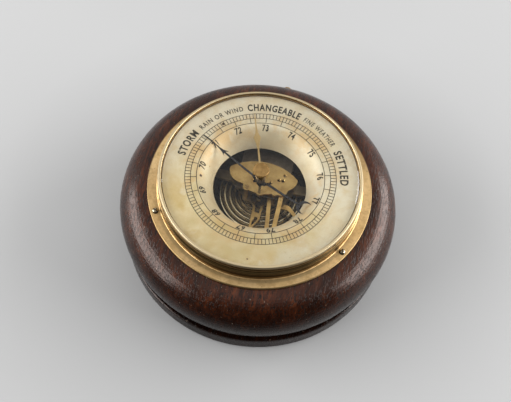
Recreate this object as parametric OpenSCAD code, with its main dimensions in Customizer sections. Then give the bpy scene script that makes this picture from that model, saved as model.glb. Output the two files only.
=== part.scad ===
// Aneroid wall barometer in a turned wooden case, with the movement open to view through a dished dial.
// Millimetres. The origin is the centre of the back face, +Z points at the glass, +Y at twelve o'clock.
// Plan sizes follow case_d and levels follow case_h, through the helpers below, so that every number in
// a module is the real size on the usual case of 170 mm.

/* [Case] */
// Outer diameter of the turned bulb
case_d = 170; // [140:1:205]
// Height of the wood, from the back face to the seat of the bezel's flange
case_h = 51.5; // [42:0.5:62]
// Height of the back board, which shows as a rim below the groove
board_h = 12; // [9:0.5:14]
// Depth of the groove between the bulb and the back board's rim
groove_depth = 2.2; // [1:0.1:3.5]

/* [Bezel and dial] */
// Outer diameter of the bezel's flange
flange_d = 134; // [130:1:140]
// Thickness of the bezel's flange
flange_t = 1.5; // [0.8:0.1:2.2]
// Rise of the domed glass above its edge
glass_rise = 3; // [2:0.1:5]
// Thickness of the glass
glass_t = 1.8; // [1.4:0.1:2]
// Diameter of the hole at the bottom of the dial's well
hole_d = 56; // [46:1:62]
// Diameter at which the flat of the dial turns down into the well
well_d = 74.6; // [70:0.2:78]
// Thickness of the dial's sheet
dial_t = 0.8; // [0.5:0.1:1.2]

/* [Movement] */
// Diameter of the vacuum capsule
capsule_d = 55; // [46:1:60]
// Number of corrugations on the capsule
waves = 6; // [4:1:6]
// Thickness of the plate that carries the arbor
plate_t = 1.5; // [1:0.1:2]
// Thickness of the mainspring's leaf
spring_t = 1.5; // [1:0.1:1.9]
// Half width of the mainspring
spring_w = 16; // [12:0.5:16.5]
// Turns of the hairspring
hairspring_turns = 5; // [3:1:6]
// Reading of the pressure hand, in centimetres of mercury
reading = 70.97; // [67:0.01:79]
// Reading that the marker hand is set to
marker_reading = 72.65; // [67:0.01:79]

/* [Hidden] */
$fn = 96;
u = case_d / 170;
v = case_h / 51.5;

// Levels above the back face
base_lo = 14;
base_hi = 16.5;
bridge_lo = 31.5;
bridge_hi = 33.5;
rocker_z = 35;
leaf_lo = 38 - spring_t;
leaf_hi = 38;
lever_hi = 39.2;
chain_z = 41;
plate_lo = 43.5;
plate_hi = plate_lo + plate_t;
seat_z = 51.5;
dial_z = 63;
glass_in = dial_z + 0.4;

// Radii of the case and of the dial
case_r = 85;
board_r = 83.2;
bore_r = 59.9;
ledge_r = 54;
flange_r = flange_d / 2;
wall_r = 59.4;
glass_r = 59.1;
dial_r = 57.6;
well_r = well_d / 2;
hole_r = hole_d / 2;
well_depth = 13.56;

// Places in the movement
capsule_y = 7;
capsule_r = capsule_d / 2;
rocker_x = 13.6;
lever_tip = [9.6, -21.6];
bend_y = 30;
clamp_y = 26.5;

// Scale: thirteen units to the full circle, 73 near twelve o'clock
unit_angle = 360 / 13;
angle_of_73 = 7.7;
hand_turn = 90 + angle_of_73 - (reading - 73) * unit_angle;
marker_turn = 90 + angle_of_73 - (marker_reading - 73) * unit_angle;

// Helpers that carry plan sizes and levels

// Upright cylinder at x, y between two levels
module post(x, y, r, lo, hi) {
    translate([x * u, y * u, lo * v]) cylinder(h = (hi - lo) * v, r = r * u);
}

// Upright cone between two levels
module taper(x, y, r_lo, r_hi, lo, hi) {
    translate([x * u, y * u, lo * v]) cylinder(h = (hi - lo) * v, r1 = r_lo * u, r2 = r_hi * u);
}

// Flat piece with an outline in plan
module slab(outline, lo, hi) {
    translate([0, 0, lo * v]) linear_extrude((hi - lo) * v) polygon([for (p = outline) p * u]);
}

// Block between two corners
module block(a, b) {
    translate([a[0] * u, a[1] * u, a[2] * v])
        cube([(b[0] - a[0]) * u, (b[1] - a[1]) * u, (b[2] - a[2]) * v]);
}

// Solid of revolution about an upright axis at x, y, from radius and level pairs
module turned(outline, x = 0, y = 0) {
    translate([x * u, y * u, 0]) rotate_extrude() polygon([for (p = outline) [p[0] * u, p[1] * v]]);
}

// Side outline in y and z, as wide as x_lo to x_hi
module side(outline, x_lo, x_hi) {
    translate([x_lo * u, 0, 0]) rotate([90, 0, 90])
        linear_extrude((x_hi - x_lo) * u) polygon([for (p = outline) [p[0] * u, p[1] * v]]);
}

// Side outline in x and z, as wide as y_lo to y_hi
module front(outline, y_lo, y_hi) {
    translate([0, y_hi * u, 0]) rotate([90, 0, 0])
        linear_extrude((y_hi - y_lo) * u) polygon([for (p = outline) [p[0] * u, p[1] * v]]);
}

// Level cylinder along Y
module axle(x, z, r, y_lo, y_hi) {
    translate([x * u, y_hi * u, z * v]) rotate([90, 0, 0]) cylinder(h = (y_hi - y_lo) * u, r = r * u);
}

// Children repeated at angles clockwise from twelve o'clock
module around(angles) {
    for (a = angles) rotate([0, 0, -a]) children();
}

// Normal of a polyline at point i, to the left of its run
function run_at(pts, i) = pts[min(i + 1, len(pts) - 1)] - pts[max(i - 1, 0)];
function left_of(d) = [-d[1], d[0]] / norm(d);
function beside(pts, t) = [for (i = [0:len(pts) - 1]) pts[i] + t * left_of(run_at(pts, i))];
function backwards(pts) = [for (i = [len(pts) - 1:-1:0]) pts[i]];

// Outline of a strip of thickness t laid to the left of a polyline
function strip(pts, t) = concat(pts, backwards(beside(pts, t)));

// Points of an arc with two radii, a from centre c
function arc(c, rx, ry, from, to, steps) =
    [for (k = [0:steps]) let (a = from + (to - from) * k / steps) [c[0] + rx * cos(a), c[1] + ry * sin(a)]];

// Case

bulb_centre_z = 31.2;
bulb_w = case_r - 67.5;
bulb_top = seat_z - bulb_centre_z;
lip_z = board_h + 6;
lip_angle = -asin((bulb_centre_z - lip_z) / 24);
groove_r = board_r - 1 - groove_depth;

module case_ring() {
    color("#4a2a20") difference() {
        rotate([0, 0, 20]) turned(concat(
            [[ledge_r, board_h], [groove_r, board_h], [groove_r, lip_z - 0.8]],
            arc([67.5, bulb_centre_z], bulb_w, 24, lip_angle, 0, 7),
            arc([67.5, bulb_centre_z], bulb_w, bulb_top, 6, 90, 14),
            [[bore_r, seat_z], [bore_r, 40], [ledge_r, 40]]));
        around([60, 180, 300]) post(0, 56, 1.05, 32.5, 41);
        around([0, 120, 240]) post(0, 63.9, 1.15, 38, seat_z + 1);
        around([45, 135, 225, 315]) post(0, 70, 1.6, board_h - 1, 26.2);
        axle(0, bulb_centre_z, 1.25, 73.8, case_r + 1);
    }
}

module back_board() {
    color("#43261d") difference() {
        turned([[0, 0], [board_r - 1, 0], [board_r - 0.3, 0.6], [board_r, 2], [board_r, board_h - 2],
            [board_r - 0.2, board_h - 0.6], [board_r - 0.8, board_h], [0, board_h]]);
        post(0, capsule_y, 4, -1, board_h + 1);
        around([45, 135, 225, 315]) {
            post(0, 70, 1.6, -1, board_h + 1);
            taper(0, 70, 3.5, 1.6, -0.01, 2);
        }
        around([30, 150, 270]) {
            post(0, 41, 1.65, -1, board_h + 1);
            taper(0, 41, 3.8, 1.65, -0.01, 2.2);
        }
    }
}

module back_screws() {
    color("#b08d4f") around([45, 135, 225, 315]) difference() {
        union() {
            taper(0, 70, 3.3, 1.55, 0.15, 2);
            post(0, 70, 1.55, 1.9, 26);
        }
        block([-0.4, 66, 0], [0.4, 74, 0.9]);
    }
}

eye_y = 88.3;

module hanging_eye() {
    color("#a8763e") {
        axle(0, bulb_centre_z, 1.2, 74, eye_y - 2.6);
        axle(0, bulb_centre_z, 1.9, case_r + 0.1, case_r + 0.8);
        translate([0, eye_y * u, bulb_centre_z * v]) rotate_extrude()
            polygon([for (p = [[1.6, -0.5], [1.6, 0.5], [1.9, 0.85], [2.7, 0.85], [3.1, 0.4],
                [3.1, -0.4], [2.7, -0.85], [1.9, -0.85]]) p * u]);
    }
}

// Bezel and glass

glass_out = glass_in + glass_rise + glass_t;
glass_bend = (57.5 * 57.5 + glass_rise * glass_rise) / (2 * glass_rise);
bevel_r = 56.8;
function glass_inner(r) = glass_in + glass_rise - r * r / (2 * glass_bend);
function glass_outer(r) = glass_out - r * r / (2 * (glass_bend + glass_t));
glass_edge = glass_inner(glass_r) + 1;

module bezel() {
    top = seat_z + flange_t;
    lip = glass_edge + 0.15;
    color("#b9975b") difference() {
        turned(concat(
            [[wall_r, seat_z], [flange_r, seat_z], [flange_r, top - 0.4], [flange_r - 0.4, top]],
            [for (t = [0:15:90]) [61.4 - sin(t), top + 5 * (1 - cos(t))]],
            [[60.9, top + 5.2], [60.9, top + 6], [60.5, top + 6.2]],
            arc([59.5, top + 9], 0.9, lip + 0.8 - top - 9, -55, 90, 12),
            [[58.5, lip + 0.9], [58.3, lip + 0.65], [58.3, lip + 0.45], [wall_r, lip]]));
        around([0, 120, 240]) post(0, 63.9, 1.2, seat_z - 1, top + 1);
    }
}

module bezel_screws() {
    top = seat_z + flange_t;
    color("#3a352c") around([0, 120, 240]) difference() {
        union() {
            turned([[0, top], [1.9, top], [1.9, top + 0.3], [1.65, top + 0.85], [1.1, top + 1.25],
                [0.5, top + 1.4], [0, top + 1.4]], 0, 63.9);
            post(0, 63.9, 1.1, 39, top + 0.1);
        }
        translate([0, 63.9 * u, 0]) rotate([0, 0, 35]) block([-3, -0.3, top + 0.75], [3, 0.3, top + 2]);
    }
}

module glass() {
    color("#dfe8e4", 0.3) turned(concat(
        [for (k = [0:12]) let (r = 1.6 + (bevel_r - 1.6) * k / 12) [r, glass_outer(r)]],
        [[glass_r, glass_edge]],
        [for (k = [0:12]) let (r = glass_r - (glass_r - 1.6) * k / 12) [r, glass_inner(r)]]));
}

module glass_ring() {
    top = glass_inner(glass_r) - 0.08;
    color("#c9ab6c") turned([[58, top - 1.4], [59.3, top - 1.4], [59.3, top], [58, top]]);
}

// Setting knob and marker hand

module glass_bush() {
    top = glass_outer(1.6);
    low = glass_inner(2.6) - 0.02;
    color("#b9975b") turned([[1.25, low - 0.3], [2.6, low - 0.3], [2.6, low], [1.55, low],
        [1.55, top], [2.6, top], [2.6, top + 0.25], [1.25, top + 0.25]]);
}

stem_r = 1.2;
marker_lo = 64.7;
boss_lo = 58.4;

module setting_knob() {
    foot = glass_outer(0) + 0.5;
    head = foot + 1.9;
    color("#a8803f") {
        difference() {
            turned([[0, foot], [4.4, foot], [4.75, foot + 0.35], [4.75, head - 0.25], [4.5, head],
                [4.05, head], [3.9, head - 0.12], [0, head - 0.12]]);
            around([for (k = [0:29]) 12 * k]) post(0, 4.95, 0.3, foot - 1, head + 1);
        }
        post(0, 0, stem_r, boss_lo + 1, foot + 0.1);
    }
}

marker_plan = [[0, 0.55], [18, 0.5], [22, 1.2], [26.2, 2.2], [27.4, 1.5], [29.5, 0.8], [32.5, 0.4],
    [44.2, 0.18]];

module marker_hand() {
    color("#c2a15e") rotate([0, 0, marker_turn]) difference() {
        union() {
            intersection() {
                slab(concat(marker_plan, backwards([for (p = marker_plan) [p[0], -p[1]]])), 60, 70);
                front([[0, 65.1], [10, 64.95], [44.5, 64.05], [44.5, 64.3], [10, 65.25], [0, 65.4]], -4, 4);
            }
            post(0, 0, 2.4, marker_lo, 65.5);
        }
        post(0, 0, stem_r + 0.01, 64, 66);
    }
}

module marker_boss() {
    color("#6a5638") turned([[stem_r + 0.01, boss_lo + 0.9], [0, boss_lo + 0.9], [0, boss_lo], [2.2, boss_lo],
        [2.9, boss_lo + 0.8], [2.9, 61.7], [2.7, 61.9], [2.7, 62.2], [3.1, 62.4], [3.1, 63.2], [2.7, 63.6],
        [2.7, marker_lo - 0.02], [stem_r + 0.01, marker_lo - 0.02]]);
}

// Dial

function well_level(r) = dial_z - well_depth * pow((well_r - r) / (well_r - hole_r), 2);
well_curve = [for (k = [0:14]) let (r = hole_r + (well_r - hole_r) * k / 14) [r, well_level(r)]];

module dial() {
    color("#d8cda4") turned(concat(
        well_curve, [[dial_r, dial_z], [dial_r, dial_z - dial_t]],
        backwards(beside(well_curve, -dial_t))));
}

module dial_pillars() {
    color("#b08d4f") around([60, 180, 300]) {
        post(0, 56, 1.5, 40, dial_z - dial_t);
        post(0, 56, 1, 33, 40.1);
    }
}

// Pressure hand and arbor

hub_z = 56.6;
hand_front = [[44.6, 0.1], [37, 0.22], [31.5, 0.42], [29.2, 0.8], [27.8, 1.35], [26.2, 2], [27.6, 0.55],
    [5.6, 0.6], [4.4, 1.3]];
hand_gap = 0.25;
tail_end = 34.6;
tail_z = max(62.3, well_level(tail_end) + hand_gap);
hand_rise = [[44.7, dial_z + hand_gap], [36, dial_z + hand_gap], [33.4, 62.4], [29, 61.1], [16, 59.2],
    [6, 58], [4.9, 57.7], [3.9, 57], [2.8, hub_z], [-2.8, hub_z], [-3.9, 57.2], [-4.9, 58.6],
    [-5.8, 59.2], [-16, 59.8], [-27, 61.2], [-tail_end, tail_z]];

module pressure_hand() {
    tail = [[-4.4, 1.3], [-6.2, 0.75], [-28.5, 0.6]];
    half = concat(hand_front, tail);
    color("#23242a") rotate([0, 0, hand_turn]) difference() {
        intersection() {
            union() {
                slab(concat(half, backwards([for (p = half) [p[0], -p[1]]])), 50, 70);
                difference() {
                    post(-31.8, 0, 4.4, 50, 70);
                    post(-33.4, 0, 3.9, 49, 71);
                    block([-50, -10, 49], [-34, 10, 71]);
                }
            }
            front(strip(hand_rise, -0.35), -6, 6);
        }
        post(0, 0, 0.65, 50, 58);
    }
}

module hand_collet() {
    color("#3b3330") turned([[0.95, 52.8], [1.3, 52.8], [1.5, 54.6], [2.4, 55.7], [2.4, hub_z], [0.95, hub_z]]);
}

drum_r = 0.4;
chain_w = 0.15;
chain_y = -drum_r - chain_w - 0.02;

module arbor() {
    color("#7a5a44") {
        post(0, 0, 0.4, 32, 34.1);
        post(0, 0, 0.9, 34, 40.2);
        post(0, 0, drum_r, 40.1, 41.9);
        post(0, 0, 0.9, 41.8, hub_z);
        post(0, 0, 0.6, hub_z - 0.1, hub_z + 0.8);
    }
}

module hairspring_collet() {
    color("#b9975b") turned([[0.95, 34.4], [1.7, 34.4], [1.7, 35.7], [0.95, 35.7]]);
}

spiral_in = 1.75;
spiral_out = 4.9;
spiral_end = 160;
spiral_t = 0.2;
function spiral(extra) = [for (k = [0:hairspring_turns * 18])
    let (a = 20 * k + spiral_end, r = spiral_in + (spiral_out - spiral_in) * k / (hairspring_turns * 18) + extra)
    [r * cos(a), r * sin(a)]];

module hairspring() {
    color("#4c4a52") slab(concat(spiral(0), backwards(spiral(spiral_t))), 34.8, 35.3);
}

module hairspring_stud() {
    stud_r = 0.6;
    reach = spiral_out + spiral_t + stud_r;
    color("#b9975b") post(reach * cos(spiral_end), reach * sin(spiral_end), stud_r, bridge_hi, 35.8);
}

// Plates and bridge

lobe_x = 12.3;
sink = 0.5;
plate_holes = [[-4.4, 6.8, 1], [5.3, 7.5, 0.7], [10, 10.5, 0.7], [12.5, 10.6, 0.7], [12.9, 14.5, 0.6]];
mid_post = [9.2, 0.9];
plate_middle = [[-15.4, 4.1], [-10.6, 3], [-9.6, -0.2], [-6.6, -0.5], [-5.2, -1], [-2.6, -1.4],
    [2.8, -1.4], [4.4, -0.7], [7.4, 0.2], [12.6, 0.3], [15, 0.5], [16.4, 2.2], [16.8, 4.9],
    [lobe_x, 12.4], [lobe_x, 26], [-lobe_x, 26], [-lobe_x, 12.4]];

module arbor_plate() {
    color("#b3955c") difference() {
        intersection() {
            post(0, -11, 32.1, plate_lo, plate_hi);
            union() {
                post(-lobe_x, 12.4, 8.9, plate_lo, plate_hi);
                post(lobe_x, 12.4, 8.9, plate_lo, plate_hi);
                post(-8.1, 1.5, 2.5, plate_lo, plate_hi);
                post(0.2, 0, 2.6, plate_lo, plate_hi);
                post(mid_post[0], mid_post[1], 1.6, plate_lo, plate_hi);
                slab(plate_middle, plate_lo, plate_hi);
            }
        }
        post(0, 0, 0.95, plate_lo - 1, plate_hi + 1);
        post(-8.1, 1.5, 0.95, plate_lo - 1, plate_hi + 1);
        for (h = plate_holes) {
            post(h[0], h[1], h[2], plate_lo - 1, plate_hi + 1);
            taper(h[0], h[1], h[2], h[2] + sink, plate_hi - sink, plate_hi + 0.01);
        }
        post(-18.6, 12, 0.95, plate_lo - 1, plate_lo + 0.8);
        post(18.6, 12, 0.95, plate_lo - 1, plate_lo + 0.8);
    }
}

module plate_screws() {
    color("#8a6a45") difference() {
        union() {
            post(-8.1, 1.5, 1.35, plate_hi, plate_hi + 0.5);
            post(-8.1, 1.5, 0.85, plate_lo - 2, plate_hi + 0.1);
        }
        block([-10, 1.3, plate_hi + 0.25], [-6, 1.7, plate_hi + 2]);
    }
}

module plate_posts() {
    color("#b08d4f") {
        difference() {
            post(-8.1, 1.5, 1.5, bridge_hi, plate_lo);
            post(-8.1, 1.5, 0.9, plate_lo - 2.2, plate_lo + 1);
        }
        difference() {
            post(rocker_x, 1.6, 1.5, bridge_hi, plate_lo - 1.2);
            axle(rocker_x, rocker_z, 0.45, -2, 1.4);
        }
        post(rocker_x, 1.6, 1, plate_lo - 1.3, plate_lo);
        post(mid_post[0], mid_post[1], 1, bridge_hi, plate_lo);
        for (x = [-18.6, 18.6]) {
            post(x, 12, 1.5, bridge_hi, plate_lo);
            post(x, 12, 0.9, plate_lo - 0.1, plate_lo + 0.7);
        }
    }
}

tongue = [[-20, 10], [-10.9, 2.6], [-10.2, -0.3], [-8.4, -1.2], [-3.8, -2.6], [3.8, -2.6], [5.5, -0.9],
    [15.4, -0.4], [16.2, 1.4], [20, 10], [20, 11], [-20, 11]];

module movement_bridge() {
    color("#75685a") difference() {
        union() {
            block([-34, 10, bridge_lo], [34, 16.5, bridge_hi]);
            slab(tongue, bridge_lo, bridge_hi);
            for (s = [-1, 1]) {
                block([32.3 * s - 1.7, 10, base_hi], [32.3 * s + 1.7, 16.5, bridge_lo + 0.1]);
                block([34.5 * s - 3.9, 10, base_hi], [34.5 * s + 3.9, 16.5, base_hi + 2]);
            }
        }
        post(0, capsule_y, 3.2, bridge_lo - 1, bridge_hi + 1);
        post(0, 0, 0.45, bridge_lo - 1, bridge_hi + 1);
        for (s = [-1, 1]) post(36.2 * s, 13.25, 1.15, base_hi - 1, base_hi + 3);
        for (p = brace_lugs) post(p[0], p[1], 0.65, bridge_lo + 0.4, bridge_hi + 1);
    }
}

module bridge_screws() {
    color("#8f8a80") for (s = [-1, 1]) {
        post(36.2 * s, 13.25, 1.9, base_hi + 2, base_hi + 3.3);
        post(36.2 * s, 13.25, 1.1, base_lo + 0.3, base_hi + 2.1);
    }
}

brace_tip = [-1.1, -23.4];
brace_lugs = [[-2.6, -1.2], [2.9, -1.2]];
brace_hi = bridge_hi + 0.8;
brace_plan = [[-3.6, -0.2], [-1.6, -0.2], [-1.6, -3], [-0.9, -5], [-0.8, -8.8], [2.2, -9], [2.3, -5],
    [1.9, -3], [1.9, -0.2], [3.9, -0.2], [3.9, -3], [3.5, -6], [3.4, -13], [1.9, -16.4], [0.1, -19.2],
    [-0.1, -23.4], [-2.1, -23.4], [-1.8, -19.4], [-2.1, -10.7], [-2.1, -5.6], [-3.6, -3]];
brace_window = [[0.1, -13.6], [1.9, -14.1], [0.8, -16.1], [-0.4, -18.2], [-0.8, -17.8], [-0.7, -15]];

module front_brace() {
    color("#b3955c") difference() {
        union() {
            slab(brace_plan, bridge_hi, brace_hi);
            post(brace_tip[0], brace_tip[1], 1.5, bridge_hi, brace_hi);
        }
        post(1.15, -13, 1.15, bridge_hi - 1, brace_hi + 1);
        slab(brace_window, bridge_hi - 1, brace_hi + 1);
        post(brace_tip[0], brace_tip[1], 0.75, bridge_hi - 1, brace_hi + 1);
        for (p = brace_lugs) post(p[0], p[1], 0.65, bridge_hi - 1, brace_hi + 1);
    }
}

module brace_screws() {
    color("#8a6a45") {
        for (p = brace_lugs) {
            post(p[0], p[1], 0.95, brace_hi, brace_hi + 0.35);
            post(p[0], p[1], 0.6, bridge_lo + 0.5, brace_hi + 0.1);
        }
        post(brace_tip[0], brace_tip[1], 1.2, brace_hi, brace_hi + 0.7);
        post(brace_tip[0], brace_tip[1], 0.7, bridge_hi - 2, brace_hi + 0.1);
    }
}

module brace_post() {
    color("#b08d4f") difference() {
        post(brace_tip[0], brace_tip[1], 1.4, base_hi, bridge_hi);
        post(brace_tip[0], brace_tip[1], 0.75, bridge_hi - 2.2, bridge_hi + 1);
    }
}

// Rocking shaft and its frame

rocker_south = -24.4;

module rocker_frame() {
    lo = plate_lo - 1.2;
    color("#b9975b") difference() {
        union() {
            slab([[12.3, 3.6], [14.9, 3.6], [14.9, rocker_south], [12.3, rocker_south]], lo, plate_lo);
            post(rocker_x, rocker_south, 1.3, lo, plate_lo);
        }
        post(rocker_x, 1.6, 1.05, lo - 1, plate_lo + 1);
        post(rocker_x, -1.7, 0.5, lo - 1, plate_lo + 1);
        post(rocker_x, rocker_south, 0.6, lo - 1, plate_lo + 1);
    }
}

module frame_rivets() {
    color("#7d6238") {
        post(rocker_x, -1.7, 0.7, plate_lo, plate_lo + 0.3);
        post(rocker_x, -1.7, 0.5, plate_lo - 1.2, plate_lo + 0.1);
    }
}

module rocker_post() {
    color("#b08d4f") difference() {
        union() {
            post(rocker_x, rocker_south, 1.3, 33, plate_lo - 1.2);
            post(rocker_x, rocker_south, 0.6, plate_lo - 1.3, plate_lo);
            post(rocker_x, rocker_south, 0.9, plate_lo, plate_lo + 0.35);
        }
        axle(rocker_x, rocker_z, 0.45, rocker_south - 0.1, rocker_south + 2);
    }
}

module rocking_shaft() {
    color("#8d8a84") {
        axle(rocker_x, rocker_z, 0.9, rocker_south + 1.6, -0.3);
        axle(rocker_x, rocker_z, 0.4, -0.4, 1.2);
        axle(rocker_x, rocker_z, 0.4, rocker_south + 0.1, rocker_south + 1.7);
    }
}

arm_y = chain_y - chain_w - 0.88;

module chain_arm() {
    color("#b9975b") {
        difference() {
            union() {
                axle(rocker_x, rocker_z, 1.7, arm_y, arm_y + 0.8);
                front([[rocker_x - 1.3, rocker_z], [rocker_x + 1.3, rocker_z], [rocker_x + 0.6, chain_z + 0.7],
                    [rocker_x - 0.6, chain_z + 0.7]], arm_y, arm_y + 0.8);
            }
            axle(rocker_x, rocker_z, 0.9, arm_y - 1, arm_y + 2);
        }
        axle(rocker_x, chain_z, 0.2, arm_y + 0.7, chain_y + chain_w + 0.1);
    }
}

crank_y = -20.6;

module crank_arm() {
    color("#b9975b") {
        difference() {
            union() {
                axle(rocker_x, rocker_z, 1.6, crank_y, crank_y + 0.8);
                axle(lever_tip[0], rocker_z, 0.9, crank_y, crank_y + 0.8);
                front([[lever_tip[0], rocker_z - 0.8], [rocker_x, rocker_z - 1.3], [rocker_x, rocker_z + 1.3],
                    [lever_tip[0], rocker_z + 0.8]], crank_y, crank_y + 0.8);
            }
            axle(rocker_x, rocker_z, 0.9, crank_y - 1, crank_y + 2);
        }
        axle(lever_tip[0], rocker_z, 0.35, crank_y - 1.5, crank_y + 0.1);
    }
}

balance_plan = [[rocker_x, -3.7], [rocker_x, -2.3], [15.7, -2.2], [16, -0.6], [18, -0.5], [20.4, -1.6],
    [23, -4.2], [25.1, -6.6], [26.4, -9.4], [26.9, -12.6], [24.6, -12.6], [24.3, -9.8], [23.3, -7.3],
    [21.5, -5.8], [18.7, -3.9]];

module balance_arm() {
    color("#b9975b") difference() {
        union() {
            slab(balance_plan, rocker_z + 0.6, rocker_z + 1.4);
            post(25.8, -13.6, 2.1, rocker_z, rocker_z + 2);
            axle(rocker_x, rocker_z, 1.7, -3.7, -2.1);
        }
        axle(rocker_x, rocker_z, 0.9, -8, 0);
    }
}

link_w = 0.35;

module link_rod() {
    y = lever_tip[1];
    color("#a9a49a") {
        difference() {
            union() {
                axle(lever_tip[0], rocker_z, 1, y - 0.3, y + 0.3);
                block([lever_tip[0] - link_w, y - 0.3, rocker_z + 0.6], [lever_tip[0] + link_w, y + 0.3, lever_hi + 0.9]);
            }
            axle(lever_tip[0], rocker_z, 0.4, y - 2, y + 2);
        }
        axle(lever_tip[0], lever_hi + 0.6, 0.35, y - 1.4, y + 1.4);
    }
}

chain_links = 13;

module chain() {
    pitch = (rocker_x - 0.5) / chain_links;
    color("#6b655c") difference() {
        union() {
            for (k = [0:chain_links - 1]) let (x = 0.5 + (k + 0.5) * pitch, r = k % 2 == 0 ? 0.4 : 0.26)
                front([[x - 0.6 * pitch, chain_z - r * 0.6], [x - 0.3 * pitch, chain_z - r],
                    [x + 0.3 * pitch, chain_z - r], [x + 0.6 * pitch, chain_z - r * 0.6],
                    [x + 0.6 * pitch, chain_z + r * 0.6], [x + 0.3 * pitch, chain_z + r],
                    [x - 0.3 * pitch, chain_z + r], [x - 0.6 * pitch, chain_z + r * 0.6]],
                    chain_y - chain_w, chain_y + chain_w);
            axle(rocker_x, chain_z, 0.5, chain_y - chain_w, chain_y + chain_w);
        }
        axle(rocker_x, chain_z, 0.23, chain_y - 1, chain_y + 1);
    }
}

// Lever, capsule and mainspring

module main_lever() {
    run = [[5.4, 9.6], [9.6, -23.4]];
    edge = concat(beside(run, 1.2), backwards(beside(run, -1.2)));
    color("#b9975b") difference() {
        slab(edge, leaf_hi, lever_hi);
        block([lever_tip[0] - 0.8, lever_tip[1] - 0.75, leaf_hi - 1], [lever_tip[0] + 0.8, lever_tip[1] + 0.75, lever_hi + 1]);
        for (y = [5, 8.2]) post(5.4 + (9.6 - y) * 0.127, y, 0.6, leaf_hi - 1, lever_hi + 1);
    }
}

module lever_rivets() {
    color("#7d6238") for (y = [5, 8.2]) {
        post(5.4 + (9.6 - y) * 0.127, y, 0.95, lever_hi, lever_hi + 0.4);
        post(5.4 + (9.6 - y) * 0.127, y, 0.55, leaf_hi + 0.02, lever_hi + 0.1);
    }
}

crest = 3.05;
capsule_top = 29.2;
function wave_level(r) = capsule_top + 0.75 * cos(360 * (r - 25.35 * capsule_r / 27.5) / crest);
wave_from = 25.35 * capsule_r / 27.5 - (waves - 0.5) * crest;
wave_to = 25.35 * capsule_r / 27.5 + crest / 2;
wave_steps = waves * 7;
wave_points = [for (k = [0:wave_steps])
    let (r = wave_to + (wave_from - wave_to) * k / wave_steps) [r, wave_level(r)]];

module capsule() {
    color("#a08c62") turned(concat(
        [[0, base_hi], [6, base_hi], [6, 20], [capsule_r - 2, 20], [capsule_r - 1, 20.8], [capsule_r - 1, 23.4],
            [capsule_r, 23.6], [capsule_r, 24.8], [capsule_r - 0.6, 25], [capsule_r - 0.6, 27.6]],
        wave_points,
        [[wave_from - 1, capsule_top + 0.2], [2.6, capsule_top + 0.2], [2.6, 30.6], [0, 30.6]]), 0, capsule_y);
}

module capsule_stud() {
    color("#8d8a84") {
        post(0, capsule_y, 1.5, 30.6, lever_hi);
        post(0, capsule_y, 3.1, leaf_hi, leaf_hi + 0.9);
        post(0, capsule_y, 2.2, 30.6, 31.2);
    }
}

module mainspring() {
    bend_r = (leaf_lo - base_hi - spring_t) / 2;
    centre = [bend_y, base_hi + spring_t + bend_r];
    inner = concat([[24, base_hi + spring_t]], arc(centre, bend_r, bend_r, -90, 90, 16), [[3.7, leaf_lo]]);
    outer = concat([[3.7, leaf_hi]], arc(centre, bend_r + spring_t, bend_r + spring_t, 90, -90, 16),
        [[24, base_hi]]);
    color("#3c3a3c") difference() {
        side(concat(inner, outer), -spring_w, spring_w);
        post(0, capsule_y, 2.1, 33, 40);
        for (x = [-11, 0, 11]) post(x, clamp_y, 1.2, base_hi - 1, base_hi + spring_t + 1);
    }
}

module spring_clamp() {
    lo = base_hi + spring_t;
    color("#75685a") difference() {
        block([-spring_w, 24.2, lo], [spring_w, 28.8, lo + 1.4]);
        for (x = [-11, 0, 11]) post(x, clamp_y, 1.2, lo - 1, lo + 2);
    }
}

module spring_screws() {
    color("#8f8a80") for (x = [-11, 0, 11]) {
        taper(x, clamp_y, 2.3, 1.15, base_lo + 0.1, base_lo + 1.2);
        post(x, clamp_y, 1.15, base_lo + 1, base_hi + spring_t + 1.3);
    }
}

// Base

module base_plate() {
    color("#8f7a4e") difference() {
        post(0, 0, 46, base_lo, base_hi);
        post(0, capsule_y, 2.5, base_lo - 1, base_hi + 1);
        around([30, 150, 270]) post(0, 41, 1.65, base_lo - 1, base_hi + 1);
        for (s = [-1, 1]) post(36.2 * s, 13.25, 1.15, base_lo - 1, base_hi + 1);
        for (x = [-11, 0, 11]) {
            post(x, clamp_y, 1.2, base_lo - 1, base_hi + 1);
            taper(x, clamp_y, 2.45, 1.2, base_lo - 0.01, base_lo + 1.2);
        }
    }
}

module base_spacers() {
    color("#b08d4f") around([30, 150, 270]) difference() {
        post(0, 41, 3, board_h, base_lo);
        post(0, 41, 1.65, board_h - 1, base_lo + 1);
    }
}

module base_screws() {
    color("#b08d4f") around([30, 150, 270]) difference() {
        union() {
            taper(0, 41, 3.6, 1.6, 0.15, 2.2);
            post(0, 41, 1.6, 2.1, base_hi - 0.2);
        }
        block([-0.45, 36, 0], [0.45, 46, 1]);
    }
}

module adjusting_screw() {
    color("#8f8a80") difference() {
        union() {
            post(0, capsule_y, 2.45, 10, base_hi - 0.1);
            post(0, capsule_y, 3.4, 8, 10.4);
        }
        block([-5, capsule_y - 0.4, 7], [5, capsule_y + 0.4, 9]);
    }
}

case_ring();
back_board();
back_screws();
hanging_eye();
bezel();
bezel_screws();
glass();
glass_ring();
glass_bush();
setting_knob();
marker_hand();
marker_boss();
dial();
dial_pillars();
pressure_hand();
hand_collet();
arbor();
hairspring_collet();
hairspring();
hairspring_stud();
arbor_plate();
plate_screws();
plate_posts();
movement_bridge();
bridge_screws();
front_brace();
brace_screws();
brace_post();
rocker_frame();
frame_rivets();
rocker_post();
rocking_shaft();
chain_arm();
crank_arm();
balance_arm();
chain();
link_rod();
main_lever();
lever_rivets();
capsule();
capsule_stud();
mainspring();
spring_clamp();
spring_screws();
base_plate();
base_spacers();
base_screws();
adjusting_screw();
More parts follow.
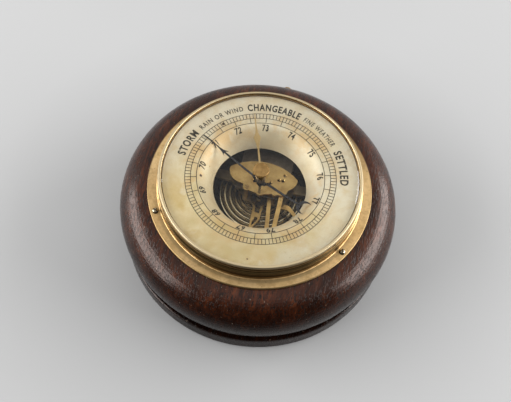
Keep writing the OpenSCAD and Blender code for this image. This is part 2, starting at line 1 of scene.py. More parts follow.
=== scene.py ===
"""Looks for the wall barometer: materials, the printed scale, floor, light and camera.

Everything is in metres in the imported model's frame: the back face lies on Z = 0, +Z points at the glass,
+Y at twelve o'clock. Colours are linear red, green and blue.
"""

import math

import bmesh
import bpy
from mathutils import Matrix, Vector


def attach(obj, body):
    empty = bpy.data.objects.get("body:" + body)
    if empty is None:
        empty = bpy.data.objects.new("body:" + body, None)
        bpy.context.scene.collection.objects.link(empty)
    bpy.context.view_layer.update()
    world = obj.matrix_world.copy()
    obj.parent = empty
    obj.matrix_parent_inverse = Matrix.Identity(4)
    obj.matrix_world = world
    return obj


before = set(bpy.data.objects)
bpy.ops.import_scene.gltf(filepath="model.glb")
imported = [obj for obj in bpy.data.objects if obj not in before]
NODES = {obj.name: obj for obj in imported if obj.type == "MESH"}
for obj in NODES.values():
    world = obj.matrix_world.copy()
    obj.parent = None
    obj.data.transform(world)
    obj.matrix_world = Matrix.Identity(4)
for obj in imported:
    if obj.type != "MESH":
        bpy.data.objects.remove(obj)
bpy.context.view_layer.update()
MM = 0.001

# Places that the CAD source fixes
DIAL_Z = 63 * MM
WELL_R = 37.3 * MM
HOLE_R = 28 * MM
WELL_DEPTH = 13.56 * MM

# The scale: 13 units of pressure fill the circle, and 73 stands a little left of twelve o'clock
UNITS = 13
FIRST_READING = 67
ANGLE_OF_73 = math.radians(-7.7)


def dial_level(r):
    """Height of the dial's face at radius r."""
    if r >= WELL_R:
        return DIAL_Z
    return DIAL_Z - WELL_DEPTH * ((WELL_R - r) / (WELL_R - HOLE_R)) ** 2


def clockwise(angle, r, z):
    """The point at radius r, that many radians clockwise from twelve o'clock."""
    return Vector((r * math.sin(angle), r * math.cos(angle), z))


def angle_of(reading):
    """Clockwise angle of a reading on the scale, in radians."""
    return ANGLE_OF_73 + (reading - 73) * 2 * math.pi / UNITS


# Nodes that the materials share

# ShaderNodeMix has sockets for each data type, and these are the numbers of those for colours
MIX_FACTOR = 0
MIX_A = 6
MIX_B = 7
MIX_RESULT = 2

# Waves per metre at the edge of a small mark, at most
FINEST_WOBBLE = 1000


def rgba(value):
    """A colour with alpha, from a colour or a grey number."""
    return (*value, 1) if isinstance(value, tuple) else (value, value, value, 1)


def shaded(colour, share):
    """A colour darkened to a share of itself."""
    return tuple(share * c for c in colour)


class Nodes:
    """A new material, with short names for the nodes that go into it."""

    def __init__(self, name):
        self.mat = bpy.data.materials.new(name)
        self.mat.use_nodes = True
        self.tree = self.mat.node_tree
        self.shader = self.tree.nodes["Principled BSDF"]
        self.coords = self.node("ShaderNodeTexCoord").outputs["Object"]

    def node(self, kind, **values):
        n = self.tree.nodes.new(kind)
        for key, value in values.items():
            setattr(n, key, value)
        return n

    def link(self, value, socket):
        """Puts a socket's value, a number, a vector or a colour into a socket."""
        if isinstance(value, bpy.types.NodeSocket):
            self.tree.links.new(value, socket)
        elif socket.type == "RGBA":
            socket.default_value = rgba(value)
        else:
            socket.default_value = value

    def set(self, **values):
        """Shader inputs by name, with _ for a space."""
        for name, value in values.items():
            self.link(value, self.shader.inputs[name.replace("_", " ")])

    def math(self, operation, a, b=0.0):
        n = self.node("ShaderNodeMath", operation=operation)
        self.link(a, n.inputs[0])
        self.link(b, n.inputs[1])
        return n.outputs[0]

    def times(self, a, b):
        return self.math("MULTIPLY", a, b)

    def axes(self):
        """X, Y and Z of the shaded point."""
        n = self.node("ShaderNodeSeparateXYZ")
        self.link(self.coords, n.inputs[0])
        return n.outputs

    def polar(self):
        """Radius, clockwise angle / 2 pi and height of the shaded point."""
        x, y, z = self.axes()
        radius = self.math("SQRT", self.math("ADD", self.times(x, x), self.times(y, y)))
        angle = self.math("DIVIDE", self.math("ARCTAN2", x, y), 2 * math.pi)
        return radius, angle, z

    def measure(self, operation, other=(0, 0, 0)):
        """LENGTH of the shaded point, or its DISTANCE from or DOT_PRODUCT with another vector."""
        n = self.node("ShaderNodeVectorMath", operation=operation)
        self.link(self.coords, n.inputs[0])
        self.link(other, n.inputs[1])
        return n.outputs["Value"]

    def combine(self, x, y, z):
        n = self.node("ShaderNodeCombineXYZ")
        for value, socket in zip((x, y, z), n.inputs):
            self.link(value, socket)
        return n.outputs[0]

    def noise(self, waves, detail=3, rough=0.5, distort=0):
        """Noise with so many waves per metre, one number or three along X, Y and Z, or over a vector."""
        if isinstance(waves, (int, float)):
            waves = (waves, waves, waves)
        if isinstance(waves, tuple):
            mapping = self.node("ShaderNodeMapping", vector_type="POINT")
            self.link(self.coords, mapping.inputs["Vector"])
            self.link(waves, mapping.inputs["Scale"])
            waves = mapping.outputs["Vector"]
        n = self.node("ShaderNodeTexNoise")
        self.link(waves, n.inputs["Vector"])
        self.link(1, n.inputs["Scale"])
        self.link(detail, n.inputs["Detail"])
        self.link(rough, n.inputs["Roughness"])
        self.link(distort, n.inputs["Distortion"])
        return n.outputs["Fac"]

    def ramp(self, value, *stops):
        """Maps a value through (place, colour or grey) stops."""
        first = stops[0][0]
        last = stops[-1][0]
        span = self.node("ShaderNodeMapRange")
        self.link(value, span.inputs["Value"])
        self.link(first, span.inputs["From Min"])
        self.link(last, span.inputs["From Max"])
        n = self.node("ShaderNodeValToRGB")
        self.link(span.outputs["Result"], n.inputs["Fac"])
        elements = n.color_ramp.elements
        while len(elements) < len(stops):
            elements.new(0.5)
        for element, (place, colour) in zip(elements, stops):
            element.position = (place - first) / (last - first)
            element.color = rgba(colour)
        return n.outputs["Color"]

    def rise(self, value, span, top=1.0):
        """0 before a span, top past it."""
        return self.ramp(value, (span[0], 0), (span[1], top))

    def fall(self, value, span, top=1.0):
        """top before a span, 0 past it."""
        return self.ramp(value, (span[0], top), (span[1], 0))

    def band(self, value, edges, top=1.0):
        """Rises from 0 to top between the first two edges and falls to 0 between the last two."""
        start, full, last, end = edges
        return self.ramp(value, (start, 0), (full, top), (last, top), (end, 0))

    def mix(self, factor, a, b, blend="MIX"):
        n = self.node("ShaderNodeMix", data_type="RGBA", blend_type=blend)
        self.link(factor, n.inputs[MIX_FACTOR])
        self.link(a, n.inputs[MIX_A])
        self.link(b, n.inputs[MIX_B])
        return n.outputs[MIX_RESULT]

    def layers(self, colour, *coats):
        """Lays the tint of each (mask, tint) coat over a colour, in turn."""
        for mask, tint in coats:
            colour = self.mix(mask, colour, tint)
        return colour

    def spot(self, place, radius, soft, ragged):
        """1 inside a round mark at a place, falling to 0 at its uneven edge."""
        waves = min(0.9 / radius, FINEST_WOBBLE)
        wobble = self.math("SUBTRACT", self.noise(waves, detail=2), 0.5)
        distance = self.math("DIVIDE", self.measure("DISTANCE", place), radius)
        distance = self.math("ADD", distance, self.times(wobble, ragged))
        return self.fall(distance, (1 - soft, 1))

    def bump(self, height, depth, strength):
        """Bump from a height socket of 0 to 1, depth metres deep, on top of the bumps made before."""
        n = self.node("ShaderNodeBump")
        self.link(strength, n.inputs["Strength"])
        self.link(depth, n.inputs["Distance"])
        self.link(height, n.inputs["Height"])
        normal = self.shader.inputs["Normal"]
        if normal.links:
            self.link(normal.links[0].from_socket, n.inputs["Normal"])
        self.link(n.outputs["Normal"], normal)


# Wood

WOOD_DARK = (0.0095, 0.0024, 0.0011)
WOOD_MIDDLE = (0.029, 0.0074, 0.0028)
WOOD_LIGHT = (0.075, 0.0200, 0.0062)
WOOD_PORE = (0.0042, 0.0018, 0.0012)
WOOD_DUST = (0.34, 0.26, 0.19)
LACQUER_TINT = (1.0, 0.84, 0.78)
PORE_ROUGHNESS = 0.38
GROOVE_ROUGHNESS = 0.85
GROOVE = (12.5 * MM, 14 * MM, 18 * MM, 23 * MM)

# Heights with the share of the wood's colour that painted shade leaves there: darkest in the groove, less
# so higher up the bulb
WOOD_SHADE_BY_HEIGHT = ((13 * MM, 0.20), (16 * MM, 0.06), (30 * MM, 0.22), (44 * MM, 0.78), (50 * MM, 1.0))


def turned_wood(name):
    """Stained and lacquered hardwood, its grain along Y, darkened by height from its groove upwards with
    painted shade.
    """
    m = Nodes(name)
    height = m.axes()[2]
    streaks = m.noise((430, 52, 260), detail=5, rough=0.68, distort=0.6)
    bands = m.noise((60, 9, 40), detail=3, rough=0.55, distort=0.8)
    between_pores = m.rise(m.noise((1600, 210, 900), detail=1), (0.36, 0.46))
    colour = m.ramp(streaks, (0.3, WOOD_DARK), (0.5, WOOD_MIDDLE), (0.72, WOOD_LIGHT))
    colour = m.mix(1.0, colour, m.ramp(bands, (0.3, 0.5), (0.62, 1.3)), "MULTIPLY")
    colour = m.mix(between_pores, WOOD_PORE, colour)
    # Painted shade: the wood darkens by height, most in the groove
    colour = m.mix(1.0, colour, m.ramp(height, *WOOD_SHADE_BY_HEIGHT), "MULTIPLY")
    colour = m.mix(m.rise(m.noise(1000, detail=0), (0.83, 0.85), 0.45), colour, WOOD_DUST)
    rubbed = m.ramp(m.noise(150, detail=4, rough=0.6), (0.3, 0.20), (0.72, 0.30))
    roughness = m.mix(between_pores, PORE_ROUGHNESS, rubbed)
    roughness = m.mix(m.band(height, GROOVE), roughness, GROOVE_ROUGHNESS)
    m.set(Base_Color=colour, Roughness=roughness, Specular_IOR_Level=0.34, Specular_Tint=LACQUER_TINT)
    m.bump(between_pores, 0.08 * MM, 0.55)
    m.bump(streaks, 0.10 * MM, 0.3)
    m.bump(m.noise(160, detail=2), 0.4 * MM, 0.1)
    return m.mat


# Metals


def worn_metal(name, light, dark, smoothest, dullest, patches=90):
    """Metal that has tarnished in patches, with a fine grain and small pits."""
    m = Nodes(name)
    cloud = m.noise(patches, detail=5, rough=0.62)
    pits = m.rise(m.noise(900, detail=1), (0.74, 0.79), 0.3)
    colour = m.ramp(cloud, (0.32, dark), (0.62, light))
    m.set(Base_Color=m.mix(pits, colour, shaded(dark, 0.35)), Metallic=1.0)
    m.set(Roughness=m.ramp(cloud, (0.3, dullest), (0.7, smoothest)))
    m.bump(m.noise(2600, detail=2), 0.02 * MM, 0.3)
    return m.mat


def dirty_metal(name, bright, fold_shade, levels):
    """Metal that is bright above the three levels and darkened below them by painted shade, in its folds or
    slots.
    """
    m = Nodes(name)
    low, middle, high = levels
    cloud = m.noise(70, detail=4, rough=0.6)
    # Painted shade: darker the lower the point lies in a fold or slot
    colour = m.ramp(m.axes()[2], (low, fold_shade), (middle, shaded(bright, 0.55)), (high, bright))
    colour = m.mix(m.fall(cloud, (0.35, 0.6), 0.5), colour, shaded(bright, 0.4))
    m.set(Base_Color=colour, Roughness=m.ramp(cloud, (0.3, 0.26), (0.7, 0.18)), Metallic=1.0)
    return m.mat


BRASS_DARK = (0.58, 0.39, 0.17)
BRASS_LIGHT = (0.78, 0.555, 0.28)
BRASS_STAIN = (0.38, 0.24, 0.095)
BRASS_BROWN = (0.36, 0.22, 0.085)
BRASS_EDGE = (0.24, 0.16, 0.07)
BRASS_LIP = (0.56, 0.455, 0.28)
BRASS_COVE = (0.17, 0.105, 0.045)
BRASS_WALL = (0.26, 0.165, 0.065)
BRASS_FRONT_SHADE = (0.030, 0.017, 0.005)
BRASS_FOOT_SHADE = (0.20, 0.155, 0.075)
BRASS_BACK_SHADE = (0.10, 0.055, 0.025)
BRASS_PIT = (0.12, 0.07, 0.03)

# Where the bezel's parts begin and end, by height
FLANGE_TOP = (53 * MM, 53.2 * MM)
COVE = (53.1 * MM, 53.4 * MM, 55.5 * MM, 55.8 * MM)
# Band that takes the painted shade and dark reflection on the front wall
SHADED_WALL = (54.3 * MM, 54.6 * MM, 63.2 * MM, 63.8 * MM)
WALL = (56 * MM, 56.4 * MM, 63 * MM, 63.8 * MM)
LIP = (63.4 * MM, 64 * MM)

# The same by radius
OUTER_ROLL = (59.2 * MM, 59.6 * MM)
# Band of painted shade on the flange at the foot of the wall
FLANGE_FOOT = (61.6 * MM, 61.8 * MM, 63.2 * MM, 64 * MM)
FLANGE_EDGE = (66.3 * MM, 66.6 * MM)

# The same along Y
FRONT = (-48 * MM, -14 * MM)
# From here backwards the outer roll gets painted shade
BACK = (20 * MM, 45 * MM)

# Waves of the lathe's rings, per metre and per turn
LATHE_WAVES = 2600
LATHE_DRIFT = 3

# Heights with how dull the brass is there
STEP_DULLNESS = ((53.2 * MM, 1), (56 * MM, 0.4), (56.2 * MM, 0))


def bezel_brass(name):
    """Spun brass: lathe rings, a pale dull lip, tarnish in the steps, near-black painted shade and dark
    reflection on the front wall, painted shade at the wall's foot in front and on the outer roll at the
    back, pits.
    """
    m = Nodes(name)
    radius, angle, height = m.polar()
    y = m.axes()[1]
    cloud = m.noise(48, detail=5, rough=0.6)
    front = m.fall(y, FRONT)
    front_flange = m.times(m.fall(height, FLANGE_TOP), front)
    lip = m.rise(height, LIP)
    pits = m.rise(m.noise(620, detail=1), (0.73, 0.78), 0.75)
    colour = m.layers(
        m.ramp(cloud, (0.3, BRASS_DARK), (0.62, BRASS_LIGHT)),
        (m.rise(m.noise(330, detail=4, rough=0.7), (0.46, 0.64), 0.5), BRASS_STAIN),
        (m.rise(m.noise(26, detail=5, rough=0.7), (0.50, 0.64), 0.35), BRASS_BROWN),
        (m.rise(radius, FLANGE_EDGE, 0.85), BRASS_EDGE),
        (lip, BRASS_LIP),
        (m.band(height, COVE, 0.84), BRASS_COVE),
        (m.band(height, WALL, 0.5), BRASS_WALL),
        # Painted shade and dark reflection, near black, over the front wall
        (m.times(m.band(height, SHADED_WALL, 0.94), front), BRASS_FRONT_SHADE),
        # Painted shade on the flange at the foot of the wall, in front
        (m.times(m.band(radius, FLANGE_FOOT, 0.4), front_flange), BRASS_FOOT_SHADE),
        # Painted shade on the outer roll at the back
        (m.times(m.rise(y, BACK, 0.7), m.rise(radius, OUTER_ROLL)), BRASS_BACK_SHADE),
        (pits, BRASS_PIT))
    dull = m.times(m.math("MAXIMUM", m.ramp(height, *STEP_DULLNESS), lip), 0.30)
    roughness = m.math("ADD", m.ramp(cloud, (0.3, 0.22), (0.7, 0.14)), dull)
    m.set(Base_Color=colour, Roughness=roughness, Metallic=1.0)
    across = m.times(radius, LATHE_WAVES)
    turned = m.combine(across, m.times(height, LATHE_WAVES), m.times(angle, LATHE_DRIFT))
    m.bump(m.noise(turned, detail=3, rough=0.7), 0.03 * MM, 0.3)
    m.bump(pits, 0.04 * MM, 0.4)
    return m.mat


# Dial, ink and glass

DIAL_SILVER = (0.58, 0.455, 0.235)
DIAL_LIGHT = (0.66, 0.54, 0.32)
DIAL_YELLOW = (0.54, 0.39, 0.165)
DIAL_BARE = (0.68, 0.615, 0.49)
DIAL_UPPER = (0.70, 0.64, 0.53)
DIAL_SHEEN = (0.72, 0.655, 0.55)
DIAL_BLOT = (0.72, 0.67, 0.55)
DIAL_MOTTLE = (0.55, 0.385, 0.165)
DIAL_SPECK = (0.28, 0.19, 0.09)
DIAL_WELL = (0.66, 0.59, 0.47)
# Colour of the painted shade on the front of the well
DIAL_SHADE = (0.30, 0.225, 0.125)
DIAL_WARM = (0.60, 0.39, 0.17)
RUST_HALO = (0.52, 0.34, 0.14)
RUST_CORE = (0.05, 0.018, 0.006)

# The lacquer has gone towards the right and a little upwards, and a painted sheen makes the dial paler to
# the upper left
BARE_DIRECTION = (5.0, 1.8, 0)
SHEEN_DIRECTION = (-0.75, 0.66, 0)

WELL_EDGE = (36 * MM, 38.5 * MM)

# Waves of the circular brushing, per metre of radius and per turn
BRUSH_WAVES = 7000
BRUSH_DRIFT = 5

# Radii with how warm the patches round the well are
WARM_RIM = ((28.5 * MM, 0), (33.5 * MM, 1), (43 * MM, 1), (48 * MM, 0.25))

# Rust marks: clockwise degrees, radius and size in mm
RUST = ((-102.5, 35.0, 1.1), (-44.5, 42.8, 1.1), (-184.5, 54.0, 0.5), (-86, 31.5, 0.3))


def silvered_dial(name):
    """Silvered brass, brushed in circles: yellowed lacquer, a painted sheen to the upper left, painted
    shade on the front of the well, rust marks.
    """
    m = Nodes(name)
    radius, angle, _ = m.polar()
    y = m.axes()[1]
    cloud = m.noise(34, detail=5, rough=0.58, distort=0.4)
    uneven = m.math("SUBTRACT", m.noise(42, detail=3, rough=0.5), 0.5)
    bare = m.math("ADD", uneven, m.measure("DOT_PRODUCT", BARE_DIRECTION))
    sheen_reach = m.measure("DOT_PRODUCT", SHEEN_DIRECTION)
    well = m.fall(radius, WELL_EDGE)
    warm = m.rise(m.noise(75, detail=4, rough=0.65, distort=0.5), (0.43, 0.62), 0.8)
    colour = m.layers(
        m.ramp(cloud, (0.36, DIAL_SILVER), (0.5, DIAL_LIGHT), (0.66, DIAL_YELLOW)),
        (m.ramp(bare, (0.0, 0), (0.13, 0.55), (0.3, 0.8)), DIAL_BARE),
        (m.rise(y, (-5 * MM, 50 * MM), 0.20), DIAL_UPPER),
        # Painted sheen towards the upper left
        (m.rise(sheen_reach, (22 * MM, 48 * MM), 0.6), DIAL_SHEEN),
        (m.rise(m.noise(70, detail=3, rough=0.72), (0.58, 0.70), 0.45), DIAL_BLOT),
        (m.rise(m.noise(170, detail=4, rough=0.6), (0.45, 0.7), 0.42), DIAL_MOTTLE),
        (m.rise(m.noise(900, detail=1), (0.75, 0.8), 0.6), DIAL_SPECK),
        (m.times(well, 0.3), DIAL_WELL),
        # Painted shade on the front half of the well
        (m.times(well, m.fall(y, (-36 * MM, 12 * MM), 0.6)), DIAL_SHADE),
        (m.times(warm, m.ramp(radius, *WARM_RIM)), DIAL_WARM))
    for degrees, r, size in RUST:
        place = clockwise(math.radians(degrees), r * MM, dial_level(r * MM))
        halo = m.times(m.spot(place, 4.5 * size * MM, 0.9, 0.9), 0.4)
        colour = m.layers(colour, (halo, RUST_HALO), (m.spot(place, size * MM, 0.4, 0.5), RUST_CORE))
    m.set(Base_Color=colour, Metallic=m.math("SUBTRACT", 0.65, m.times(well, 0.4)))
    m.set(Roughness=m.math("ADD", m.ramp(cloud, (0.3, 0.34), (0.7, 0.46)), m.times(well, 0.12)))
    tangent = m.node("ShaderNodeTangent", direction_type="RADIAL", axis="Z")
    m.set(Anisotropic=0.75, Anisotropic_Rotation=0.25, Tangent=tangent.outputs[0])
    brushed = m.combine(m.times(radius, BRUSH_WAVES), m.times(angle, BRUSH_DRIFT), 0.0)
    m.bump(m.noise(brushed, detail=3, rough=0.75), 0.03 * MM, 0.4)
    return m.mat


def ink(name):
    """Printing ink that has worn thin in places."""
    m = Nodes(name)
    wear = m.noise(1400, detail=3, rough=0.7)
    colour = m.ramp(wear, (0.35, (0.016, 0.013, 0.010)), (0.8, (0.075, 0.058, 0.034)))
    m.set(Base_Color=colour, Roughness=0.8, Specular_IOR_Level=0.15)
    return m.mat


def clear_glass(name):
    """Thin clear glass that lets lamps through and only mirrors by its angle, on its outer side."""
    m = Nodes(name)
    m.tree.nodes.remove(m.shader)
    fresnel = m.node("ShaderNodeFresnel")
    m.link(1.4, fresnel.inputs["IOR"])
    outer = m.math("SUBTRACT", 1.0, m.node("ShaderNodeNewGeometry").outputs["Backfacing"])
    clear = m.node("ShaderNodeBsdfTransparent")
    m.link((0.985, 0.99, 0.98), clear.inputs["Color"])
    gloss = m.node("ShaderNodeBsdfGlossy")
    m.link(0.03, gloss.inputs["Roughness"])
    m.link(1.0, gloss.inputs["Color"])
    blend = m.node("ShaderNodeMixShader")
    m.link(m.times(fresnel.outputs[0], outer), blend.inputs[0])
    m.link(clear.outputs[0], blend.inputs[1])
    m.link(gloss.outputs[0], blend.inputs[2])
    m.link(blend.outputs[0], m.tree.nodes["Material Output"].inputs["Surface"])
    return m.mat


# Materials and the nodes that wear them

# Heights from painted shade up to bright metal
CAPSULE_FOLDS = (28.4 * MM, 29.1 * MM, 29.9 * MM)
SCREW_SLOTS = (53.78 * MM, 53.86 * MM, 54.05 * MM)

MATERIALS = (
    (turned_wood("turned_wood"), ("case_ring", "back_board")),
    (bezel_brass("bezel_brass"), ("bezel",)),
    (silvered_dial("silvered_dial"), ("dial",)),
    (clear_glass("clear_glass"), ("glass",)),
    (dirty_metal("capsule_metal", (0.86, 0.71, 0.47), (0.11, 0.088, 0.055), CAPSULE_FOLDS), ("capsule",)),
    (dirty_metal("screw_steel", (0.42, 0.35, 0.24), (0.010, 0.008, 0.006), SCREW_SLOTS), ("bezel_screws",)),
    (worn_metal("plate_brass", (0.66, 0.43, 0.16), (0.44, 0.26, 0.085), 0.36, 0.52, patches=140),
     ("glass_ring", "front_brace", "rocker_frame", "main_lever", "chain_arm", "crank_arm", "balance_arm")),
    (worn_metal("arbor_plate_brass", (0.50, 0.335, 0.13), (0.33, 0.20, 0.07), 0.36, 0.5, patches=140),
     ("arbor_plate",)),
    (worn_metal("bridge_brass", (0.50, 0.36, 0.20), (0.30, 0.21, 0.11), 0.35, 0.5), ("movement_bridge",)),
    (worn_metal("dull_bronze", (0.18, 0.125, 0.07), (0.07, 0.047, 0.03), 0.42, 0.6),
     ("marker_boss", "base_plate", "spring_clamp")),
    (worn_metal("knob_brass", (0.34, 0.215, 0.085), (0.21, 0.125, 0.045), 0.62, 0.72, patches=260),
     ("setting_knob", "hanging_eye")),
    (worn_metal("marker_brass", (0.55, 0.38, 0.17), (0.38, 0.25, 0.10), 0.3, 0.42), ("marker_hand",)),
    (worn_metal("aged_brass", (0.50, 0.35, 0.15), (0.26, 0.155, 0.06), 0.34, 0.5),
     ("glass_bush", "plate_screws", "brace_screws", "frame_rivets", "lever_rivets", "back_screws",
      "base_screws", "base_spacers", "dial_pillars", "plate_posts", "brace_post", "rocker_post",
      "hairspring_collet", "hairspring_stud")),
    (worn_metal("blued_steel", (0.065, 0.062, 0.066), (0.014, 0.013, 0.014), 0.2, 0.34, patches=200),
     ("pressure_hand", "hand_collet", "hairspring")),
    (worn_metal("bright_steel", (0.52, 0.50, 0.46), (0.30, 0.28, 0.24), 0.22, 0.35),
     ("arbor", "rocking_shaft", "link_rod", "capsule_stud", "bridge_screws", "spring_screws",
      "adjusting_screw", "chain")),
    (worn_metal("spring_steel", (0.54, 0.43, 0.31), (0.28, 0.21, 0.15), 0.5, 0.65), ("mainspring",)),
)
for material, node_names in MATERIALS:
    for node_name in node_names:
        node_mesh = NODES[node_name].data
        node_mesh.materials.clear()
        node_mesh.materials.append(material)


# Printed scale

INK_LIFT = 0.05 * MM
SCALE_R = 44.4 * MM
TICK_R = 41.05 * MM
LONG_R = 37.6 * MM
FINE = 0.37 * MM
TICKS_PER_UNIT = 10
LONG_TICK_EVERY = 5

BOLD = 0.032
THIN = 0.016
NUMBER_R = 33.5 * MM
NUMBER_HEIGHT = 3.45 * MM
NUMBER_HEIGHT_CHANGE = 0.3 * MM
NUMBER_SQUEEZE = 0.9
NUMBER_SPACING = 1.12
LARGE_R = 46.8 * MM
LARGE_HEIGHT = 4.9 * MM
LARGE_SPACING = 1.16
SMALL_R = 47.4 * MM
SMALL_HEIGHT = 3.3 * MM
SMALL_SPACING = 1.25

# Words with the clockwise degrees of their middle and the degrees that they fill
LARGE_WORDS = (("STORM", -75.5, 21.6), ("CHANGEABLE", -2.5, 39.0), ("SETTLED", 69.5, 28.0))
SMALL_WORDS = (("RAIN OR WIND", -42.9, 35.0), ("FINE WEATHER", 35.5, 30.0))


def piece(name, bm, material, body):
    """Makes a named piece from a bmesh and lets it ride on a body."""
    mesh = bpy.data.meshes.new(name)
    bm.to_mesh(mesh)
    bm.free()
    mesh.materials.append(material)
    obj = bpy.data.objects.new(name, mesh)
    bpy.context.scene.collection.objects.link(obj)
    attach(obj, body)


def on_dial(angle, r):
    """A point on the dial's face, lifted by the ink's thickness."""
    return clockwise(angle, r, dial_level(r) + INK_LIFT)


def ring(bm, r, width, steps=360):
    """A printed circle."""
    rows = [[bm.verts.new(on_dial(2 * math.pi * k / steps, radius)) for k in range(steps)]
            for radius in (r - width / 2, r + width / 2)]
    for k in range(steps):
        n = (k + 1) % steps
        bm.faces.new((rows[0][k], rows[0][n], rows[1][n], rows[1][k]))


def tick(bm, angle, r_in, r_out, width, steps=4):
    """A printed radial line that follows the dial's slope."""
    radii = [r_in + (r_out - r_in) * k / steps for k in range(steps + 1)]
    left, right = ([bm.verts.new(on_dial(angle + side * width / r, r)) for r in radii]
                   for side in (-0.5, 0.5))
    for k in range(steps):
        bm.faces.new((left[k], right[k], right[k + 1], left[k + 1]))


def flat_letters(text, weight, spacing):
    """The faces of a line of text as a bmesh, with long edges divided so that the line can bend."""
    curve = bpy.data.curves.new("lettering", "FONT")
    curve.body = text
    curve.size = 1.0
    curve.space_character = spacing
    curve.offset = weight
    curve.resolution_u = 3
    obj = bpy.data.objects.new("lettering", curve)
    bpy.context.scene.collection.objects.link(obj)
    bpy.context.view_layer.update()
    mesh = bpy.data.meshes.new_from_object(obj.evaluated_get(bpy.context.evaluated_depsgraph_get()))
    bpy.data.objects.remove(obj)
    letters = bmesh.new()
    letters.from_mesh(mesh)
    bpy.data.meshes.remove(mesh)
    long_edges = [e for e in letters.edges if e.calc_length() > 0.2]
    bmesh.ops.subdivide_edges(letters, edges=long_edges, cuts=2)
    bmesh.ops.triangulate(letters, faces=letters.faces)
    return letters


def lettering(bm, text, angle, r, height, weight, spacing, width=None):
    """Text along the dial's circle, its tops outward, centred on an angle, with its baseline at r.

    width is the arc that the text fills, in radians. Without it the letters keep the font's proportions,
    squeezed as the numbers are.
    """
    letters = flat_letters(text, weight, spacing)
    xs = [v.co.x for v in letters.verts]
    ys = [v.co.y for v in letters.verts]
    middle = (min(xs) + max(xs)) / 2
    middle_r = r + height / 2
    scale_y = height / (max(ys) - max(min(ys), 0.0))
    scale_x = scale_y * NUMBER_SQUEEZE if width is None else width * middle_r / (max(xs) - min(xs))
    made = {}
    for v in letters.verts:
        turn = angle + (v.co.x - middle) * scale_x / middle_r
        made[v] = bm.verts.new(on_dial(turn, r + v.co.y * scale_y))
    for face in letters.faces:
        bm.faces.new([made[v] for v in face.verts])
    letters.free()


def words(bm, entries, r, height, weight, spacing):
    """Several words on one circle."""
    for text, degrees, wide in entries:
        lettering(bm, text, math.radians(degrees), r, height, weight, spacing, math.radians(wide))


def number_height(angle):
    """Taller at the bottom of the dial, where the well's slope foreshortens the numbers."""
    return NUMBER_HEIGHT - NUMBER_HEIGHT_CHANGE * math.cos(angle)


black = ink("printing_ink")

scale_bm = bmesh.new()
for circle_r in (SCALE_R, TICK_R, LONG_R):
    ring(scale_bm, circle_r, FINE)
for k in range(UNITS * TICKS_PER_UNIT):
    tick_end = TICK_R if k % LONG_TICK_EVERY else LONG_R
    tick(scale_bm, angle_of(FIRST_READING + k / TICKS_PER_UNIT), tick_end, SCALE_R, FINE)
piece("scale_print", scale_bm, black, "case")

number_bm = bmesh.new()
for reading in range(FIRST_READING, FIRST_READING + UNITS):
    at = angle_of(reading)
    lettering(number_bm, str(reading), at, NUMBER_R, number_height(at), BOLD, NUMBER_SPACING)
piece("numbers_print", number_bm, black, "case")

word_bm = bmesh.new()
words(word_bm, LARGE_WORDS, LARGE_R, LARGE_HEIGHT, BOLD, LARGE_SPACING)
words(word_bm, SMALL_WORDS, SMALL_R, SMALL_HEIGHT, THIN, SMALL_SPACING)
piece("words_print", word_bm, black, "case")


# Floor and light

FLOOR_HALF = 6

# Places along Y, from half a metre in front of the object's middle, with the share of the paper's colour:
# painted darkness of the room in front, for all rays but the camera's, and painted shade on the near side
FROM_FRONT = 0.5
DARK_FRONT = ((0.35, 0.04), (0.44, 1.0))
NEAR_SHADE = ((0.36, 0.93), (0.47, 1.0))

# Distances from the object's middle with the tone of its soft shadow
SHADOW_TONE = ((0.085, 0.89), (0.18, 1.0))


def floor_material():
    """Pale paper to the camera, with a painted soft shadow round the object and painted shade at its near
    side. To all other rays it darkens in front of the object, painted to stand for the dark room.
    """
    m = Nodes("floor_paper")
    along = m.math("ADD", m.axes()[1], FROM_FRONT)
    paper = m.ramp(m.noise(3, detail=3), (0.3, 0.405), (0.7, 0.42))
    # Painted soft shadow round the object
    paper = m.mix(1.0, paper, m.ramp(m.measure("LENGTH"), *SHADOW_TONE), "MULTIPLY")
    # Painted shade at the near side
    paper = m.mix(1.0, paper, m.ramp(along, *NEAR_SHADE), "MULTIPLY")
    seen = m.node("ShaderNodeLightPath").outputs["Is Camera Ray"]
    # Painted darkness of the room in front, for all rays but the camera's
    shade = m.math("MAXIMUM", m.ramp(along, *DARK_FRONT), seen)
    colour = m.mix(1.0, paper, shade, "MULTIPLY")
    m.set(Base_Color=colour, Roughness=0.85, Specular_IOR_Level=0.2)
    return m.mat


floor_bm = bmesh.new()
bmesh.ops.create_grid(floor_bm, x_segments=1, y_segments=1, size=FLOOR_HALF)
floor_mesh = bpy.data.meshes.new("floor")
floor_bm.to_mesh(floor_mesh)
floor_bm.free()
floor_mesh.materials.append(floor_material())
floor = bpy.data.objects.new("floor", floor_mesh)
bpy.context.scene.collection.objects.link(floor)

LAMP_DISTANCE = 1.5
LAMP_TARGET = Vector((0, 0, 0.03))


def softbox(name, azimuth, elevation, size, power):
    """A lamp at a clockwise azimuth from twelve o'clock and an elevation, in degrees, facing the object."""
    light = bpy.data.lights.new(name, "AREA")
    light.shape = "RECTANGLE"
    light.size, light.size_y = size
    light.energy = power
    rise = math.radians(elevation)
    out = LAMP_DISTANCE * math.cos(rise)
    place = clockwise(math.radians(azimuth), out, LAMP_DISTANCE * math.sin(rise))
    obj = bpy.data.objects.new(name, light)
    obj.location = place
    obj.rotation_euler = (LAMP_TARGET - place).to_track_quat("-Z", "Y").to_euler()
    bpy.context.scene.collection.objects.link(obj)


softbox("left_softbox", -106, 22, (1.7, 0.9), 39)
softbox("right_softbox", 75, 20, (1.75, 0.9), 43)

# The room is palest behind the object and overhead
PALEST_DIRECTION = (0, 0.6, 0.8)
PALE_FROM = 0.7
ROOM_DARK = 0.03
ROOM_PALE = 0.85


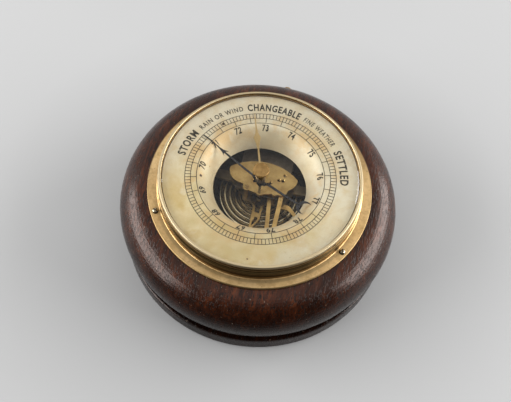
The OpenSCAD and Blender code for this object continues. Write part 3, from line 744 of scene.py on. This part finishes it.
def studio_world():
    """A room that is pale overhead and behind the object, and dark in front of it."""
    world = bpy.data.worlds.new("studio")
    world.use_nodes = True
    tree = world.node_tree
    direction = tree.nodes.new("ShaderNodeTexCoord").outputs["Generated"]
    dot = tree.nodes.new("ShaderNodeVectorMath")
    dot.operation = "DOT_PRODUCT"
    dot.inputs[1].default_value = PALEST_DIRECTION
    tree.links.new(direction, dot.inputs[0])
    ramp = tree.nodes.new("ShaderNodeValToRGB")
    ramp.color_ramp.interpolation = "EASE"
    dark, pale = ramp.color_ramp.elements
    dark.position = 0.0
    dark.color = rgba(ROOM_DARK)
    pale.position = PALE_FROM
    pale.color = rgba(ROOM_PALE)
    tree.links.new(dot.outputs["Value"], ramp.inputs["Fac"])
    tree.links.new(ramp.outputs["Color"], tree.nodes["Background"].inputs["Color"])
    return world


bpy.context.scene.world = studio_world()


# Camera, fitted to the scale circles, the bezel and the case in a photograph of 511 by 402 pixels

PHOTO_WIDTH = 511
FOCAL_PIXELS = 794.578
SENSOR_WIDTH = 36
ELEVATION = math.radians(60.91)
ROLL = math.radians(4.8186)
OBJECT_TURN = math.radians(8.5)

# In radii of the outer scale circle
DISTANCE = 10.47955
SHIFT_X = 0.069246
SHIFT_Y = 0.327682

forward = Vector((0, math.cos(ELEVATION), -math.sin(ELEVATION)))
level = Vector((1, 0, 0))
upward = Vector((0, math.sin(ELEVATION), math.cos(ELEVATION)))
right = level * math.cos(ROLL) + upward * math.sin(ROLL)
up = upward * math.cos(ROLL) - level * math.sin(ROLL)
offset = (-forward * DISTANCE - right * SHIFT_X - up * SHIFT_Y) * SCALE_R
turn = Matrix.Rotation(OBJECT_TURN, 4, "Z")
view_axes = Matrix((right, up, -forward)).transposed().to_4x4()

camera_data = bpy.data.cameras.new("camera")
camera_data.sensor_width = SENSOR_WIDTH
camera_data.lens = SENSOR_WIDTH * FOCAL_PIXELS / PHOTO_WIDTH
camera_data.clip_start = 0.01
camera = bpy.data.objects.new("camera", camera_data)
camera.matrix_world = Matrix.Translation((0, 0, DIAL_Z)) @ turn @ Matrix.Translation(offset) @ view_axes
bpy.context.scene.collection.objects.link(camera)
bpy.context.scene.camera = camera

bpy.context.scene.view_settings.view_transform = "Standard"
